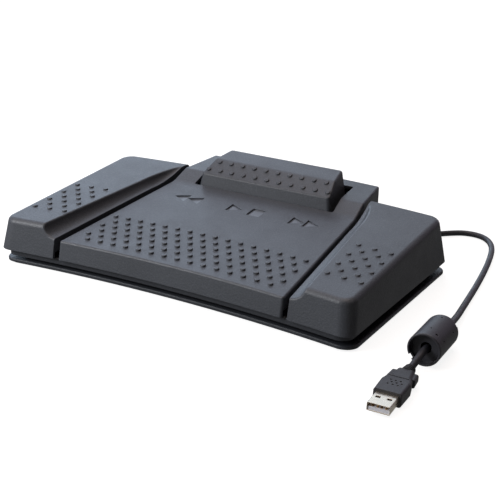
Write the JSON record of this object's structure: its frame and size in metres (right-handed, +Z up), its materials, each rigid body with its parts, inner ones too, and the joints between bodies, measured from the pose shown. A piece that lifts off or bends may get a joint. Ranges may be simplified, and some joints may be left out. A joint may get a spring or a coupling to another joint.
{
  "type": "foot control",
  "caption": "Low dark grey foot control with hinged side, centre and raised top pedals on a wide flat base, with round grip bumps, a thin lead, a ferrite sleeve and a USB plug.",
  "frame": {"origin": "middle of the control's footprint, on the floor; the lead, ferrite sleeve and plug are left out of that middle", "axes": "+X to the user's right, +Y away from the user, +Z up"},
  "size_m": [0.2957, 0.2971, 0.0536],
  "materials": {
    "cover_plastic": "fine moulded grain",
    "base_plastic": "fine moulded grain",
    "mat_rubber": "matt ribbed",
    "stop_rubber": "matt",
    "ballast_steel": "zinc plated",
    "rod_steel": "ground",
    "spring_steel": "drawn wire",
    "switch_plastic": "moulded",
    "plunger_plastic": "moulded",
    "board_laminate": "solder mask",
    "chip_plastic": "moulded",
    "crystal_metal": "pressed can",
    "connector_plastic": "moulded",
    "screw_steel": "zinc plated",
    "clamp_plastic": "moulded",
    "gland_rubber": "moulded",
    "cable_jacket": "extruded, slight sheen",
    "ferrite_case": "moulded",
    "ferrite": "sintered",
    "plug_rubber": "moulded",
    "plug_plastic": "overmoulded",
    "plug_metal": "nickel plated",
    "plug_insulation": "moulded",
    "contact_metal": "gold plated"
  },
  "bodies": {
    "base": {"base_tray": "base_plastic", "chassis_frame": "base_plastic", "non_slip_mat": "mat_rubber", "stop_bumpers": "stop_rubber", "ballast_plate": "ballast_steel", "right_hinge_rod": "rod_steel", "left_hinge_rod": "rod_steel", "centre_hinge_rod": "rod_steel", "top_hinge_pin": "rod_steel", "right_spring": "spring_steel", "left_spring": "spring_steel", "centre_springs": "spring_steel", "top_spring": "spring_steel", "right_switch": "switch_plastic", "left_switch": "switch_plastic", "centre_switch": "switch_plastic", "top_switch": "switch_plastic", "circuit_board": "board_laminate", "controller_chip": "chip_plastic", "crystal_can": "crystal_metal", "board_connector": "connector_plastic", "board_screws": "screw_steel", "clamp_screws": "screw_steel", "case_screws": "screw_steel", "cable_clamp": "clamp_plastic", "cable_gland": "gland_rubber", "cable_lead": "cable_jacket", "cable_coil": "cable_jacket", "usb_cable": "cable_jacket", "inner_lead": "cable_jacket", "ferrite_sleeve": "ferrite_case", "ferrite_core": "ferrite", "plug_boot": "plug_rubber", "plug_body": "plug_plastic", "plug_shell": "plug_metal", "plug_insulator": "plug_insulation", "plug_contacts": "contact_metal"},
    "right_pedal": {"right_pedal_cover": "cover_plastic"},
    "left_pedal": {"left_pedal_cover": "cover_plastic"},
    "centre_pedal": {"centre_pedal_cover": "cover_plastic"},
    "top_pedal": {"top_pedal_cover": "cover_plastic"},
    "right_switch_plunger": {"right_plunger": "plunger_plastic"},
    "left_switch_plunger": {"left_plunger": "plunger_plastic"},
    "centre_switch_plunger": {"centre_plunger": "plunger_plastic"},
    "top_switch_plunger": {"top_plunger": "plunger_plastic"}
  },
  "joints": [
    {"name": "left_pedal_hinge", "type": "hinge", "parent": "base", "child": "left_pedal", "pos_m": [-0.096, 0.05194, 0.016], "axis": [1, 0, 0], "range_deg": [0, 1.5], "stiffness_Nm_per_rad": 15, "springref_deg": -2.29, "deforming": ["left_spring"]},
    {"name": "left_switch_press", "type": "slide", "parent": "base", "child": "left_switch_plunger", "axis": [0, 0, -1], "range_m": [0, 0.0009]},
    {"name": "right_pedal_hinge", "type": "hinge", "parent": "base", "child": "right_pedal", "pos_m": [0.096, 0.05194, 0.016], "axis": [1, 0, 0], "range_deg": [0, 1.5], "stiffness_Nm_per_rad": 15, "springref_deg": -2.29, "deforming": ["right_spring"]},
    {"name": "right_switch_press", "type": "slide", "parent": "base", "child": "right_switch_plunger", "axis": [0, 0, -1], "range_m": [0, 0.0009]},
    {"name": "centre_pedal_hinge", "type": "hinge", "parent": "base", "child": "centre_pedal", "pos_m": [0, 0.05194, 0.016], "axis": [1, 0, 0], "range_deg": [0, 1.5], "stiffness_Nm_per_rad": 25, "springref_deg": -2.29, "deforming": ["centre_springs"]},
    {"name": "centre_switch_press", "type": "slide", "parent": "base", "child": "centre_switch_plunger", "axis": [0, 0, -1], "range_m": [0, 0.0009]},
    {"name": "top_pedal_hinge", "type": "hinge", "parent": "base", "child": "top_pedal", "pos_m": [0, 0.06594, 0.038], "axis": [1, 0, 0], "range_deg": [0, 6], "stiffness_Nm_per_rad": 0.8, "springref_deg": -8.59, "deforming": ["top_spring"]},
    {"name": "top_switch_press", "type": "slide", "parent": "base", "child": "top_switch_plunger", "axis": [0, 0, -1], "range_m": [0, 0.0009]}
  ],
  "couplings": [
    {"joint": "left_switch_press", "follows": "left_pedal_hinge", "m_per_rad": 0.023},
    {"joint": "right_switch_press", "follows": "right_pedal_hinge", "m_per_rad": 0.023},
    {"joint": "centre_switch_press", "follows": "centre_pedal_hinge", "m_per_rad": 0.027},
    {"joint": "top_switch_press", "follows": "top_pedal_hinge", "m_per_rad": 0.0075}
  ]
}
